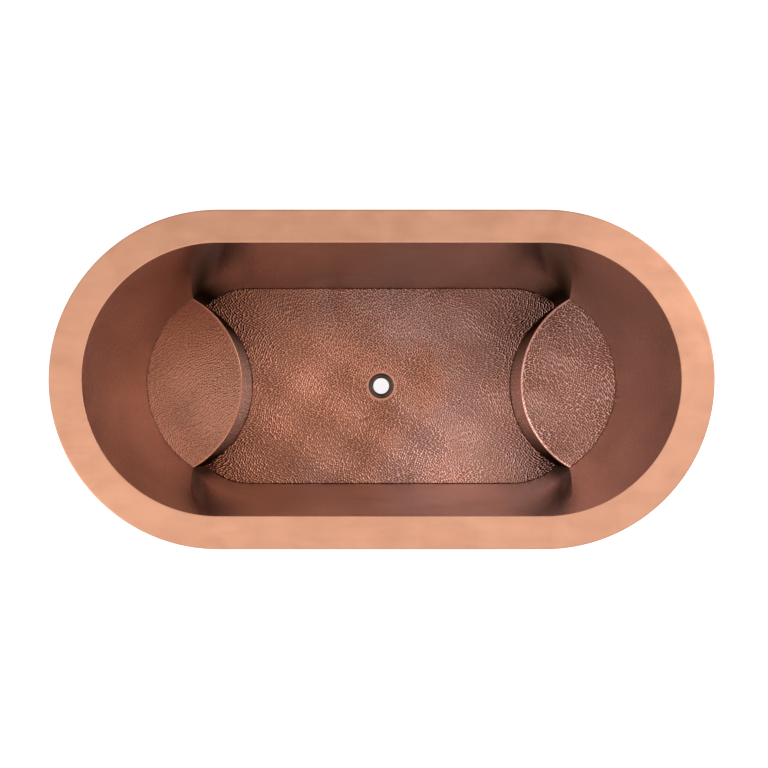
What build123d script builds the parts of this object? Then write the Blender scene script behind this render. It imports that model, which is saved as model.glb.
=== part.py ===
from build123d import *
import os
from dataclasses import dataclass
from math import hypot, sqrt

# A double-walled copper bathtub. X runs along the tub, Y across it and Z up. The origin is on the
# ground under the middle of the tub. Right is +X, rear is +Y. All dimensions are in millimetres.

# ---- overall
tub_length = 1800           # over the rim
tub_width = 918             # over the rim
inner_depth = 610           # rim's top down to the floor pan's top

# ---- rim
rim_width = 90              # flat deck, outer edge to inner edge
rim_t = 3
rim_lip_drop = 25           # outer edge, turned down over the skirt
rim_overhang = 2            # deck's inner edge past the basin wall
rim_outer_round = 2.5
rim_inner_round = 1.2

# ---- basin: four wall sheets that meet at a ridge above each seat corner
basin_t = 2
floor_side_inset = 143.5    # tub's side to the foot of the side wall
floor_corner_r = 220        # foot of the side wall, where it turns towards the end
floor_turn_inset = 480      # tub's end to where that corner starts
floor_end_inset = 260       # tub's end to the foot of the backrest, under the seat
rim_ridge_run = 49          # end of the rim's straight side to the ridge's top
pan_t = 3
pan_flange = 8              # pan past the basin walls that stand on it

# ---- seats: a lens between a bowed riser and the backrest
seat_height = 282           # floor pan's top to the seat's top
seat_front_inset = 483.5    # tub's end to the middle of the riser
seat_back_inset = 200.4     # tub's end to the seat's back edge
seat_corner_inset = 338     # tub's end to the lens's corners
seat_corner_side_inset = 206.5
seat_wall_corner_r = 220    # side wall's corner at seat level
seat_t = 3
seat_nosing = 1.5           # seat's front edge past the riser
seat_edge_round = 1.4
riser_t = 2
rib_t = 3
rib_spacing = 120
rib_end_gap = 40            # rib's back edge to the foot of the backrest

# ---- drain
drain_hole_d = 50.8
drain_recess_d = 82         # opening in the pan, over the drain seat
drain_seat_d = 120
drain_seat_t = 5

# ---- skirt
skirt_t = 1.6
skirt_taper = 30            # each side, from the rim to the hem
hem_clearance = 3           # ground to the skirt's hem
strap_t = 2
strap_width = 50
base_ring_t = 4

# ---- frame under the floor pan
rail_width = 40
rail_height = 30
rail_wall = 2.5
rail_inset_y = 279          # tub's side to the rail's middle
rail_end_inset = 290        # tub's end to the rail's end
bar_width = 50
bar_t = 8
inner_bar_x = 200
bracket_t = 3
bracket_depth = 100
bracket_spacing = 300

# ---- levelling feet
foot_inset_x = 430          # tub's end to the foot
foot_rail_gap = 50          # rail's side to the foot's axis
stud_d = 12
stud_top_gap = 7            # floor pan's underside to the stud's end
wind_in_room = 7.7          # stud's collar to the lock nut above it
thread_clearance = 0.05     # radial, stud in nut
bar_hole_clearance = 0.5    # radial, stud in bar
nut_across_flats = 19
weld_nut_t = 10
lock_nut_t = 7
pad_d = 46
pad_t = 4
cup_d = 50
cup_t = 8
journal_d = 11              # stud's end, turning in the cup
journal_clearance = 0.05    # radial
journal_depth = 6
foot_gap = 0.3              # between the cup and the stud that turns in it
collar_across_flats = 17
collar_t = 8

# ---- worked out from the above
half_length = tub_length / 2
half_width = tub_width / 2
cup_top = pad_t + cup_t
collar_z = cup_top + foot_gap
lock_nut_z = collar_z + collar_t + wind_in_room
bar_z = lock_nut_z + lock_nut_t
rail_z = bar_z + bar_t
pan_z = rail_z + rail_height                    # underside of the floor pan
floor_z = pan_z + pan_t                         # top of the floor pan
seat_z = floor_z + seat_height
tub_height = floor_z + inner_depth
deck_z = tub_height - rim_t                     # underside of the rim's deck
end_centre_x = half_length - half_width         # centre of the rim's round end
rail_y = half_width - rail_inset_y
foot_x = half_length - foot_inset_x
foot_y = rail_y + rail_width / 2 + foot_rail_gap
foot_places = {
    "front_left": (-foot_x, -foot_y),
    "front_right": (foot_x, -foot_y),
    "rear_left": (-foot_x, foot_y),
    "rear_right": (foot_x, foot_y),
}
ends = {"left": -1, "right": 1}                 # e in what follows
sides = {"front": -1, "rear": 1}                # s in what follows
beyond = tub_length                             # from the middle, past everything


# ---- plane geometry
def arc_about(start, end, centre):
    """The shorter arc from start to end about centre, all (x, y, z)."""
    start, end, centre = Vector(*start), Vector(*end), Vector(*centre)
    radius = (start - centre).length
    middle = centre + (start + end - centre * 2).normalized() * radius
    return ThreePointArc(start, middle, end)


def circles_meet(centre_a, r_a, centre_b, r_b):
    """The point furthest towards +Y that two circles share, as (x, y)."""
    dx, dy = centre_b[0] - centre_a[0], centre_b[1] - centre_a[1]
    apart = hypot(dx, dy)
    along = (apart**2 + r_a**2 - r_b**2) / (2 * apart)
    across = sqrt(r_a**2 - along**2)
    foot = centre_a[0] + along * dx / apart, centre_a[1] + along * dy / apart
    pair = [(foot[0] - s * across * dy / apart, foot[1] + s * across * dx / apart) for s in (1, -1)]
    return max(pair, key=lambda point: point[1])


def bulge_centre(corner_x, corner_y, apex_x):
    """Centre x of the arc on the X axis through both corners (corner_x, +/-corner_y) and the apex."""
    return (apex_x**2 - corner_x**2 - corner_y**2) / (2 * (apex_x - corner_x))


@dataclass
class Level:
    """One horizontal section of the basin: straight sides, a corner arc up to each ridge, bowed ends."""

    z: float
    side_y: float
    turn_x: float       # where the straight side ends
    ridge_x: float
    ridge_y: float
    apex_x: float

    def corner_centre(self):
        run, rise = self.ridge_x - self.turn_x, self.side_y - self.ridge_y
        return self.turn_x, self.side_y - (run**2 + rise**2) / (2 * rise)

    def end_centre(self):
        return bulge_centre(self.ridge_x, self.ridge_y, self.apex_x)

    def grown(self, t):
        """The same section, t further out."""
        centre = self.corner_centre()
        side = Vector(self.ridge_x - centre[0], self.ridge_y - centre[1]).normalized()
        end = Vector(self.ridge_x - self.end_centre(), self.ridge_y).normalized()
        out = (side + end) * (t / (1 + side.dot(end)))
        return Level(
            self.z,
            self.side_y + t,
            self.turn_x,
            self.ridge_x + out.X,
            self.ridge_y + out.Y,
            self.apex_x + t,
        )

    def side(self, s):
        """Edges of the side wall at s (+1 rear, -1 front), from the right ridge to the left one."""
        cx, cy = self.corner_centre()
        ridges = [(x, s * self.ridge_y, self.z) for x in (self.ridge_x, -self.ridge_x)]
        turns = [(x, s * self.side_y, self.z) for x in (self.turn_x, -self.turn_x)]
        return [
            arc_about(ridges[0], turns[0], (cx, s * cy, self.z)),
            Line(turns[0], turns[1]),
            arc_about(turns[1], ridges[1], (-cx, s * cy, self.z)),
        ]

    def end(self, e):
        """The end wall's edge at e (+1 right, -1 left), from the rear ridge to the front one."""
        rear, front = [(e * self.ridge_x, y, self.z) for y in (self.ridge_y, -self.ridge_y)]
        return [ThreePointArc(rear, (e * self.apex_x, 0, self.z), front)]

    def outline(self):
        return Wire([*self.side(1), *self.end(-1), *self.side(-1), *self.end(1)])


def between(inner, outer):
    """A closed loop around the strip between two open runs of edges."""
    ties = [Line(inner[0] @ 0, outer[0] @ 0), Line(inner[-1] @ 1, outer[-1] @ 1)]
    return Wire([*inner, *outer, *ties])


# ---- the basin's three levels
rim_side_y = half_width - rim_width + rim_overhang
rim_level = Level(
    z=deck_z,
    side_y=rim_side_y,
    turn_x=end_centre_x,
    ridge_x=end_centre_x + rim_ridge_run,
    ridge_y=sqrt(rim_side_y**2 - rim_ridge_run**2),
    apex_x=end_centre_x + rim_side_y,
)

seat_corner_x = half_length - seat_corner_inset
seat_corner_y = half_width - seat_corner_side_inset
riser_x = half_length - seat_front_inset
riser_centre_x = bulge_centre(seat_corner_x, seat_corner_y, riser_x)
riser_r = riser_centre_x - riser_x

floor_side_y = half_width - floor_side_inset
floor_turn_x = half_length - floor_turn_inset
floor_ridge_x, floor_ridge_y = circles_meet(
    (floor_turn_x, floor_side_y - floor_corner_r), floor_corner_r, (riser_centre_x, 0), riser_r
)
floor_level = Level(
    z=floor_z,
    side_y=floor_side_y,
    turn_x=floor_turn_x,
    ridge_x=floor_ridge_x,
    ridge_y=floor_ridge_y,
    apex_x=half_length - floor_end_inset,
)

# The straight part of the side wall is one plane from the rim to the floor.
seat_share = (seat_z - floor_z) / (deck_z - floor_z)
seat_side_y = floor_side_y + seat_share * (rim_side_y - floor_side_y)
seat_drop = seat_side_y - seat_corner_y
seat_level = Level(
    z=seat_z,
    side_y=seat_side_y,
    turn_x=seat_corner_x - sqrt(seat_drop * (2 * seat_wall_corner_r - seat_drop)),
    ridge_x=seat_corner_x,
    ridge_y=seat_corner_y,
    apex_x=half_length - seat_back_inset,
)
levels = [rim_level, seat_level, floor_level]


def lofted(wires):
    return Solid.make_loft(wires, ruled=True)


basin_inside = lofted([level.outline() for level in levels])
basin_outside = lofted([level.grown(basin_t).outline() for level in levels])


def prism(face, z_low, z_high):
    """A prism over a face drawn at z = 0."""
    return extrude(Pos(0, 0, z_low) * face, z_high - z_low)


def block(x, y, z):
    """A box from three (low, high) pairs."""
    middle = [(low + high) / 2 for low, high in (x, y, z)]
    return Pos(*middle) * Box(x[1] - x[0], y[1] - y[0], z[1] - z[0])


def stadium(inset):
    return SlotOverall(tub_length - 2 * inset, tub_width - 2 * inset)


# ---- rim
def deck_edges(body, inset):
    """The straight edges of the deck's top face that lie inset from the tub's sides."""
    top = body.edges().filter_by(GeomType.LINE).group_by(Axis.Z)[-1]
    return [edge for edge in top if abs(abs(edge.center().Y) - (half_width - inset)) < rim_t / 2]


def make_rim():
    body = prism(stadium(0), deck_z - rim_lip_drop, tub_height)
    body -= prism(stadium(rim_t), deck_z - rim_lip_drop, deck_z)
    body -= prism(stadium(rim_width), deck_z, tub_height)
    body = fillet(deck_edges(body, 0), rim_outer_round)
    return fillet(deck_edges(body, rim_width), rim_inner_round)


# ---- basin sheets
def make_basin_side(s):
    return lofted([between(level.side(s), level.grown(basin_t).side(s)) for level in levels])


def make_backrest(e):
    return lofted([between(level.end(e), level.grown(basin_t).end(e)) for level in levels])


def make_floor_pan():
    outline = floor_level.grown(basin_t + pan_flange).outline()
    pan = extrude(Face(outline), pan_t, dir=(0, 0, -1))
    return pan - prism(Circle(drain_recess_d / 2), pan_z, floor_z)


def make_drain_seat():
    ring = Circle(drain_seat_d / 2) - Circle(drain_hole_d / 2)
    return prism(ring, pan_z - drain_seat_t, pan_z)


# ---- seats
def riser_disc(e, grow=0):
    return Pos(e * riser_centre_x, 0) * Circle(riser_r + grow)


def make_seat_top(e):
    plate = prism(riser_disc(e, seat_nosing), seat_z - seat_t, seat_z)
    rounded = fillet(plate.edges().group_by(Axis.Z)[-1], seat_edge_round)
    return rounded & basin_inside


def make_seat_riser(e):
    band = riser_disc(e) - riser_disc(e, -riser_t)
    return prism(band, floor_z, seat_z - seat_t) & basin_inside


def make_seat_rib(e, place):
    y = place * rib_spacing
    x = sorted((e * riser_x, e * (floor_level.apex_x - rib_end_gap)))
    plate = block(x, (y - rib_t / 2, y + rib_t / 2), (floor_z, seat_z - seat_t))
    behind_riser = prism(riser_disc(e, -riser_t), floor_z, seat_z - seat_t)
    return plate & behind_riser & basin_inside


# ---- skirt
def skirt_inset(z):
    """The skirt's outer face at height z, from the tub's outline."""
    return rim_t + skirt_taper * (deck_z - z) / (deck_z - hem_clearance)


def inside_skirt(gap, z_low, z_high):
    """The space inside the skirt's outer face, gap in from it."""
    outlines = [Pos(0, 0, z) * stadium(skirt_inset(z) + gap) for z in (z_low, z_high)]
    return lofted([outline.wire() for outline in outlines])


def skirt_band(gap, t, z_low, z_high):
    return inside_skirt(gap, z_low, z_high) - inside_skirt(gap + t, z_low, z_high)


skirt_shell = skirt_band(0, skirt_t, hem_clearance, deck_z)


def make_skirt_side(s):
    y = sorted((0, s * beyond))
    return skirt_shell & block((-end_centre_x, end_centre_x), y, (0, tub_height))


def make_skirt_end(e):
    x = sorted((e * end_centre_x, e * beyond))
    return skirt_shell & block(x, (-beyond, beyond), (0, tub_height))


def make_seam_strap(e, s):
    """The strip behind the joint of a side panel and an end panel."""
    band = skirt_band(skirt_t, strap_t, rail_z, deck_z)
    x = e * end_centre_x - strap_width / 2, e * end_centre_x + strap_width / 2
    return band & block(x, sorted((0, s * beyond)), (0, tub_height))


def make_base_ring():
    return skirt_band(skirt_t, base_ring_t, hem_clearance, rail_z)


# ---- brackets that carry the rim, between the basin and the skirt
def make_rim_bracket(x, y):
    """A web in the gap between the walls, over the box with corners at x and y."""
    low = deck_z - bracket_depth
    gap = inside_skirt(skirt_t, low, deck_z) - basin_outside
    return gap & block(x, y, (low, deck_z))


def make_side_bracket(s, place):
    x = place * bracket_spacing
    return make_rim_bracket((x - bracket_t / 2, x + bracket_t / 2), sorted((0, s * beyond)))


def make_end_bracket(e):
    return make_rim_bracket(sorted((0, e * beyond)), (-bracket_t / 2, bracket_t / 2))


# ---- frame
def make_rail(s):
    end = half_length - rail_end_inset
    y = s * rail_y
    hollow = rail_width / 2 - rail_wall
    tube = block((-end, end), (y - rail_width / 2, y + rail_width / 2), (rail_z, pan_z))
    return tube - block((-end, end), (y - hollow, y + hollow), (rail_z + rail_wall, pan_z - rail_wall))


def make_cross_bar(x, holes):
    """A flat bar from one side of the base ring to the other, under both rails."""
    room = inside_skirt(skirt_t + base_ring_t, bar_z, rail_z)
    bar = room & block((x - bar_width / 2, x + bar_width / 2), (-beyond, beyond), (bar_z, rail_z))
    for y in holes:
        bar -= Pos(x, y) * prism(Circle(stud_d / 2 + bar_hole_clearance), bar_z, rail_z)
    return bar


# ---- levelling feet
def hexagon(across_flats):
    return RegularPolygon(across_flats / 2, 6, major_radius=False)


def nut_row(z_low, z_high):
    """One nut at each foot."""
    nut = prism(hexagon(nut_across_flats) - Circle(stud_d / 2 + thread_clearance), z_low, z_high)
    return [Pos(x, y) * nut for x, y in foot_places.values()]


def make_foot_pad(x, y):
    return Pos(x, y) * prism(Circle(pad_d / 2), 0, pad_t)


def make_foot_cup(x, y):
    cup = prism(Circle(cup_d / 2), pad_t, cup_top)
    cup = fillet(cup.edges().group_by(Axis.Z)[-1], cup_t / 4)
    socket = Circle(journal_d / 2 + journal_clearance)
    return Pos(x, y) * (cup - prism(socket, cup_top - journal_depth, cup_top))


def make_foot_stud(x, y):
    stud = prism(Circle(journal_d / 2), cup_top - journal_depth + foot_gap, collar_z)
    stud += prism(hexagon(collar_across_flats), collar_z, collar_z + collar_t)
    stud += prism(Circle(stud_d / 2), collar_z + collar_t, pan_z - stud_top_gap)
    return Pos(x, y) * stud


def all_nodes():
    nodes = {"rim": make_rim()}
    for name, s in sides.items():
        nodes[f"basin_side_{name}"] = make_basin_side(s)
        nodes[f"skirt_{name}"] = make_skirt_side(s)
        nodes[f"frame_rail_{name}"] = make_rail(s)
        for place in (-1, 0, 1):
            nodes[f"rim_bracket_{name}_{place + 2}"] = make_side_bracket(s, place)
    for name, e in ends.items():
        nodes[f"backrest_{name}"] = make_backrest(e)
        nodes[f"seat_top_{name}"] = make_seat_top(e)
        nodes[f"seat_riser_{name}"] = make_seat_riser(e)
        for place in (-1, 0, 1):
            nodes[f"seat_rib_{name}_{place + 2}"] = make_seat_rib(e, place)
        nodes[f"skirt_{name}"] = make_skirt_end(e)
        nodes[f"rim_bracket_{name}"] = make_end_bracket(e)
        nodes[f"cross_bar_outer_{name}"] = make_cross_bar(e * foot_x, (-foot_y, foot_y))
        nodes[f"cross_bar_inner_{name}"] = make_cross_bar(e * inner_bar_x, ())
        for side_name, s in sides.items():
            nodes[f"seam_strap_{side_name}_{name}"] = make_seam_strap(e, s)
    nodes["floor_pan"] = make_floor_pan()
    nodes["drain_seat"] = make_drain_seat()
    nodes["base_ring"] = make_base_ring()
    nodes["weld_nuts"] = nut_row(rail_z, rail_z + weld_nut_t)
    nodes["lock_nuts"] = nut_row(lock_nut_z, bar_z)
    for name, place in foot_places.items():
        nodes[f"foot_pad_{name}"] = make_foot_pad(*place)
        nodes[f"foot_cup_{name}"] = make_foot_cup(*place)
        nodes[f"foot_stud_{name}"] = make_foot_stud(*place)
    return nodes


os.makedirs("parts", exist_ok=True)
for node, shape in all_nodes().items():
    solids = shape if isinstance(shape, list) else [shape]
    kept = Compound(children=[solid for item in solids for solid in item.solids()])
    export_step(kept, f"parts/{node}.step")
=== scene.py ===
import math

import bpy
import numpy as np
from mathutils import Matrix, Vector


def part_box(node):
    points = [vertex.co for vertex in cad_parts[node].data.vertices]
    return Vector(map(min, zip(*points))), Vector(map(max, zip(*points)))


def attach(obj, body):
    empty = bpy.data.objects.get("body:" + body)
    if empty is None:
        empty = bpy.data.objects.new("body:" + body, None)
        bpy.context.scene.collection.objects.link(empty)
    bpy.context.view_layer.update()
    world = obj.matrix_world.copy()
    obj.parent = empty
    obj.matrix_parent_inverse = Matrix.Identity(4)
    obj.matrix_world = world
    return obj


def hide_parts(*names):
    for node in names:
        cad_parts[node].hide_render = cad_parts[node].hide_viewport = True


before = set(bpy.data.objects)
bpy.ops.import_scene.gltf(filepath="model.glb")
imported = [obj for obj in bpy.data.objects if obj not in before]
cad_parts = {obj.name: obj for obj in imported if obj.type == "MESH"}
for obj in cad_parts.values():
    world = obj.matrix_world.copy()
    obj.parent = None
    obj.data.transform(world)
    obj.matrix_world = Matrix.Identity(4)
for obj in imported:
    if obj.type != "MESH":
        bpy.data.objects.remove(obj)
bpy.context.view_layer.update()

# The looks of a double-walled hammered copper bathtub. Lengths are in metres: +X runs along the tub,
# +Y across it and +Z up. Each copper sheet is a closed mesh that replaces the plain CAD sheet in the
# same place, and the beaten ones carry the hammer's dents on their shown face.

# ---- places, from the frame
half_length, half_width, top_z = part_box("rim")[1]
lip_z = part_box("rim")[0].z
pan_z, floor_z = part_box("floor_pan")[0].z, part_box("floor_pan")[1].z
seat_under_z, seat_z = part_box("seat_top_right")[0].z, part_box("seat_top_right")[1].z
deck_z, hem_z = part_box("skirt_rear")[1].z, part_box("skirt_rear")[0].z
riser_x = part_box("seat_riser_right")[0].x
end_centre_x = half_length - half_width

# ---- sizes of the sheets
rim_width = 0.090
rim_t = top_z - deck_z
rim_overhang = 0.002
rim_outer_round = 0.0025
rim_inner_round = 0.0020
rim_spacing = 0.0065
basin_t = 0.002
pan_flange = 0.008
riser_t, riser_grid = 0.002, 0.006
seat_nosing = 0.0015
seat_edge_round = 0.0030
skirt_t = 0.0016
skirt_top_inset, skirt_hem_inset = rim_t, 0.033
drain_recess_r, drain_hole_r = 0.041, 0.0254
floor_bead_r, seat_bead_r, skirt_bead_r = 0.0017, 0.0013, 0.0013
# about how far the basin's side and end walls run, to choose the number of cells along them
side_run, end_run = 1.17, 0.95
# how far in a seat's front edge carries a painted highlight, and how near a grid point may lie to a cut
# edge
painted_edge_width, edge_hair = 0.0032, 0.0004

# ---- the hammer's marks: spacing, depth, and the grid that carries them
floor_pitch, floor_depth, floor_grid = 0.0076, 0.0006, 0.00287
seat_pitch, seat_depth, seat_grid = 0.0071, 0.0006, 0.0016
wall_pitch, wall_depth, wall_grid = 0.0120, 0.00035, 0.0034
skirt_pitch, skirt_depth, skirt_grid = 0.0135, 0.00075, 0.0041
coarse_step = 6
dent_rise = 2.1
dent_jitter = 0.55
dent_fade = 0.006

# ---- the soft swells that beating leaves in a sheet: how high, and how far apart
wall_swell, skirt_swell, riser_swell = (0.00035, 0.11), (0.0005, 0.16), (0.00025, 0.07)
rim_top_swell, rim_lip_swell = (0.0002, 0.085), (0.0002, 0.07)


# ================ the basin's shape
class Level:
    """One horizontal section of the basin: straight sides, a corner arc up to each ridge, bowed ends."""

    def __init__(self, z, side_y, turn_x, ridge, apex_x):
        self.z, self.side_y, self.turn_x, self.apex_x = z, side_y, turn_x, apex_x
        self.ridge_x, self.ridge_y = ridge

    def corner_radius(self):
        """Radius of the arc that leaves the straight side at turn_x and ends at the ridge."""
        run, rise = self.ridge_x - self.turn_x, self.side_y - self.ridge_y
        return (run**2 + rise**2) / (2 * rise)

    def side(self, share):
        """The side wall's points (x, y) at each share of the way from the left ridge to the right one."""
        radius = self.corner_radius()
        sweep = math.asin((self.ridge_x - self.turn_x) / radius)
        turn = sweep * np.clip(1 - np.minimum(share, 1 - share) / corner_share, 0, 1)
        hand = np.where(share > 0.5, 1.0, -1.0)
        along = np.clip((share - 0.5) / (0.5 - corner_share), -1, 1)
        x = self.turn_x * along + hand * radius * np.sin(turn)
        return x, self.side_y - radius + radius * np.cos(turn)

    def end(self, share):
        """The right end wall's points (x, y), from the front ridge to the rear one."""
        centre = bulge_centre(self.ridge_x, self.ridge_y, self.apex_x)
        radius = self.apex_x - centre
        sweep = math.atan2(self.ridge_y, self.ridge_x - centre)
        turn = sweep * (2 * share - 1)
        return centre + radius * np.cos(turn), radius * np.sin(turn)


def bulge_centre(corner_x, corner_y, apex_x):
    """Centre x of the arc on the X axis through both corners (corner_x, +/-corner_y) and the apex."""
    return (apex_x**2 - corner_x**2 - corner_y**2) / (2 * (apex_x - corner_x))


# corner_share is the part of a side wall's run that each corner arc takes, and crease_fade is how
# quickly the crease at each ridge dies out up the wall
corner_share, crease_fade = 0.17, 4.0
seat_ridge = 0.562, 0.2525
floor_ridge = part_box("basin_side_rear")[1].x - 0.0006, 0.2568
rim_side_y = half_width - rim_width + rim_overhang
rim_ridge_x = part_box("backrest_right")[0].x
rim_ridge = rim_ridge_x, math.sqrt(rim_side_y**2 - (rim_ridge_x - end_centre_x) ** 2)
riser_centre_x = bulge_centre(*seat_ridge, riser_x)
riser_r = riser_centre_x - riser_x
rim_level = Level(deck_z, rim_side_y, end_centre_x, rim_ridge, end_centre_x + rim_side_y)
seat_level = Level(seat_z, side_y=0.3413, turn_x=0.3854, ridge=seat_ridge, apex_x=0.6996)
floor_level = Level(floor_z, side_y=0.3155, turn_x=0.4200, ridge=floor_ridge, apex_x=0.6400)


def stadium_level(z, side_y, apex_x, angle):
    """A plain stadium section, divided into its side and its end at this angle round the end's centre."""
    turn_x = apex_x - side_y
    return Level(z, side_y, turn_x, (turn_x + side_y * math.cos(angle), side_y * math.sin(angle)), apex_x)


def ridge_angle(level):
    """The angle of a level's ridge round the centre of its stadium's end."""
    return math.atan2(level.ridge_y, level.ridge_x - (level.apex_x - level.side_y))


def basin_wall(curve, share, z):
    """A wall's points, rows of z by shares. Its crease is sharp at the seat and dies out up the wall."""
    rim, seat, floor = rim_level, seat_level, floor_level
    seat_curve, floor_curve = (np.stack(curve(level, share), axis=1) for level in (seat, floor))
    low, high = ((level.side_y, level.apex_x, ridge_angle(level)) for level in (seat, rim))
    crease = seat_curve - np.stack(curve(stadium_level(seat.z, *low), share), axis=1)
    rows = []
    for height in z:
        if height >= seat.z:
            up = (height - seat.z) / (rim.z - seat.z)
            here = stadium_level(height, *(a + (b - a) * up for a, b in zip(low, high)))
            plan = np.stack(curve(here, share), axis=1) + crease * (1 - up) ** crease_fade
        else:
            down = (seat.z - height) / (seat.z - floor.z)
            plan = seat_curve * (1 - down) + floor_curve * down
        rows.append(np.column_stack([plan, np.full(len(share), height)]))
    return np.array(rows)


# ================ meshes
def steps(length, grid):
    """A number of cells of about this size that the coarse back can share."""
    return max(1, round(length / grid / coarse_step)) * coarse_step


def hammer_places(u, v, pitch, seed):
    """Places u, v along a sheet, counted in hammer blows. The rows run aslant and wander, as by hand."""
    start = np.random.default_rng(seed).random(4) * 40
    slant, near, far = 0.62, 1.5, 1.1
    across = (u * math.cos(slant) - v * math.sin(slant)) / pitch
    along = (u * math.sin(slant) + v * math.cos(slant)) / pitch
    across, along = (
        across + near * np.sin(along / 3.3 + start[2]) + far * np.sin(along / 7.9 + start[0]) + start[0],
        along + near * np.sin(across / 3.7 + start[3]) + far * np.sin(across / 9.1 + start[1]) + start[1],
    )
    return np.stack([across, along, np.zeros(np.shape(u))], axis=-1)


def hammered(places):
    """0 at the bottom of each dent and 1 on the ridges between them, as the material shows too."""
    flat = places.reshape(-1, 3)
    mesh = bpy.data.meshes.new("blows")
    mesh.from_pydata(flat.tolist(), [], [])
    cloud = bpy.data.objects.new("blows", mesh)
    bpy.context.scene.collection.objects.link(cloud)
    cloud.modifiers.new("blows", "NODES").node_group = blow_nodes()
    found = cloud.evaluated_get(bpy.context.evaluated_depsgraph_get()).data.attributes["near"]
    near = np.zeros(len(flat), np.float32)
    found.data.foreach_get("value", near)
    bpy.data.objects.remove(cloud)
    bpy.data.meshes.remove(mesh)
    return np.clip(near.astype(float) ** 2 * dent_rise, 0, 1).reshape(places.shape[:-1])


def blow_nodes():
    """Geometry nodes that keep each point's distance to the nearest hammer blow."""
    if "blow_nodes" in bpy.data.node_groups:
        return bpy.data.node_groups["blow_nodes"]
    tree = bpy.data.node_groups.new("blow_nodes", "GeometryNodeTree")
    tree.interface.new_socket("Geometry", in_out="INPUT", socket_type="NodeSocketGeometry")
    tree.interface.new_socket("Geometry", in_out="OUTPUT", socket_type="NodeSocketGeometry")
    start, end = tree.nodes.new("NodeGroupInput"), tree.nodes.new("NodeGroupOutput")
    place = tree.nodes.new("GeometryNodeInputPosition")
    cells = tree.nodes.new("ShaderNodeTexVoronoi")
    set_cells(cells)
    store = tree.nodes.new("GeometryNodeStoreNamedAttribute")
    store.data_type, store.domain = "FLOAT", "POINT"
    store.inputs["Name"].default_value = "near"
    tree.links.new(start.outputs[0], store.inputs["Geometry"])
    tree.links.new(place.outputs[0], cells.inputs["Vector"])
    tree.links.new(cells.outputs["Distance"], store.inputs["Value"])
    tree.links.new(store.outputs[0], end.inputs[0])
    return tree


def set_cells(cells):
    """The Voronoi pattern of hammer blows, alike in the meshes and in the materials."""
    cells.voronoi_dimensions, cells.feature = "2D", "F1"
    cells.inputs["Scale"].default_value = 1.0
    cells.inputs["Randomness"].default_value = dent_jitter


def rolling(u, v, size, seed):
    """Soft swells between -1 and 1, about this far apart, as a beaten sheet keeps after planishing."""
    rng = np.random.default_rng(seed)
    total = np.zeros(np.broadcast(u, v).shape)
    waves = 9
    for _ in range(waves):
        heading, phase, stretch = rng.random(3)
        turn = heading * math.tau
        run = (u * math.cos(turn) + v * math.sin(turn)) / (size * (0.6 + 0.8 * stretch))
        total += np.sin(run * math.tau + phase * math.tau)
    return total / math.sqrt(waves * 2)


def upright(x, y, z):
    """A grid of points with a row at each z."""
    return np.stack(np.broadcast_arrays(x, y, z[:, None]), axis=2)


def ramp(value, start, end):
    """0 before the start, 1 past the end, and straight in between. Either may be the higher."""
    return np.clip((value - start) / (end - start), 0, 1)


def facing(points):
    """The unit normals of a grid of points."""
    normal = np.cross(np.gradient(points, axis=1), np.gradient(points, axis=0))
    return normal / np.linalg.norm(normal, axis=2, keepdims=True)


def travelled(points):
    """How far along its row and its column each point lies, measured from the middle of the row."""
    along = np.zeros(points.shape[:2])
    along[:, 1:] = np.cumsum(np.linalg.norm(np.diff(points, axis=1), axis=2), axis=1)
    down = np.zeros(points.shape[:2])
    down[1:] = np.cumsum(np.linalg.norm(np.diff(points, axis=0), axis=2), axis=0)
    return along - along[:, -1:] / 2, down


def border_fade(along, down, width):
    """0 at a sheet's edges, rising to 1 this far inside them."""
    side = np.minimum(along - along[:, :1], along[:, -1:] - along)
    end = np.minimum(down - down[:1], down[-1:] - down)
    return np.clip(np.minimum(side, end) / width, 0, 1)


def add_piece(name, points, faces, finish, slot, replaces=(), places=None, fade=None, clean=None):
    """A closed mesh as a piece that rides on the tub, with what its material reads at each point.

    Places and fade draw the dents. Painted light scales the colour: 1 is bare metal, more is painted
    highlight, less painted shade."""
    mesh = bpy.data.meshes.new(name)
    mesh.from_pydata(points.tolist(), [], faces)
    mesh.validate()
    mesh.shade_smooth()
    mesh.set_sharp_from_angle(angle=math.radians(38))
    if signed_volume(mesh) < 0:
        mesh.flip_normals()
    keep_values(mesh, "clean", clean, 1.0)
    keep_values(mesh, "fade", fade, 0.0)
    if places is not None:
        blows = np.zeros((len(points), 3), np.float32)
        blows[: places.size // 3] = places.reshape(-1, 3)
        mesh.attributes.new("blows", "FLOAT_VECTOR", "POINT").data.foreach_set("vector", blows.ravel())
    piece = bpy.data.objects.new(name, mesh)
    bpy.context.scene.collection.objects.link(piece)
    mesh.materials.append(finish)
    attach(piece, "root")
    if replaces:
        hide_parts(*replaces)
    return piece


def keep_values(mesh, name, shown, elsewhere):
    """Keeps a value at each point of the shown face, and another elsewhere."""
    values = np.full(len(mesh.vertices), elsewhere, np.float32)
    if shown is not None:
        values[: shown.size] = shown.ravel()
    mesh.attributes.new(name, "FLOAT", "POINT").data.foreach_set("value", values)


def signed_volume(mesh):
    """Six times the volume inside a closed mesh, negative where its faces look inwards."""
    mesh.calc_loop_triangles()
    corners = np.zeros(len(mesh.loop_triangles) * 3, np.int32)
    mesh.loop_triangles.foreach_get("vertices", corners)
    places = np.zeros(len(mesh.vertices) * 3)
    mesh.vertices.foreach_get("co", places)
    a, b, c = places.reshape(-1, 3)[corners.reshape(-1, 3)].transpose(1, 0, 2)
    return float(np.einsum("ij,ij->", a, np.cross(b, c)))


def cell_faces(rows, cols):
    """Four-sided faces of a grid whose points are numbered along its rows."""
    i, j = np.meshgrid(np.arange(rows - 1), np.arange(cols - 1), indexing="ij")
    start = (i * cols + j).ravel()
    return np.stack([start, start + 1, start + cols + 1, start + cols], axis=1)


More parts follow.
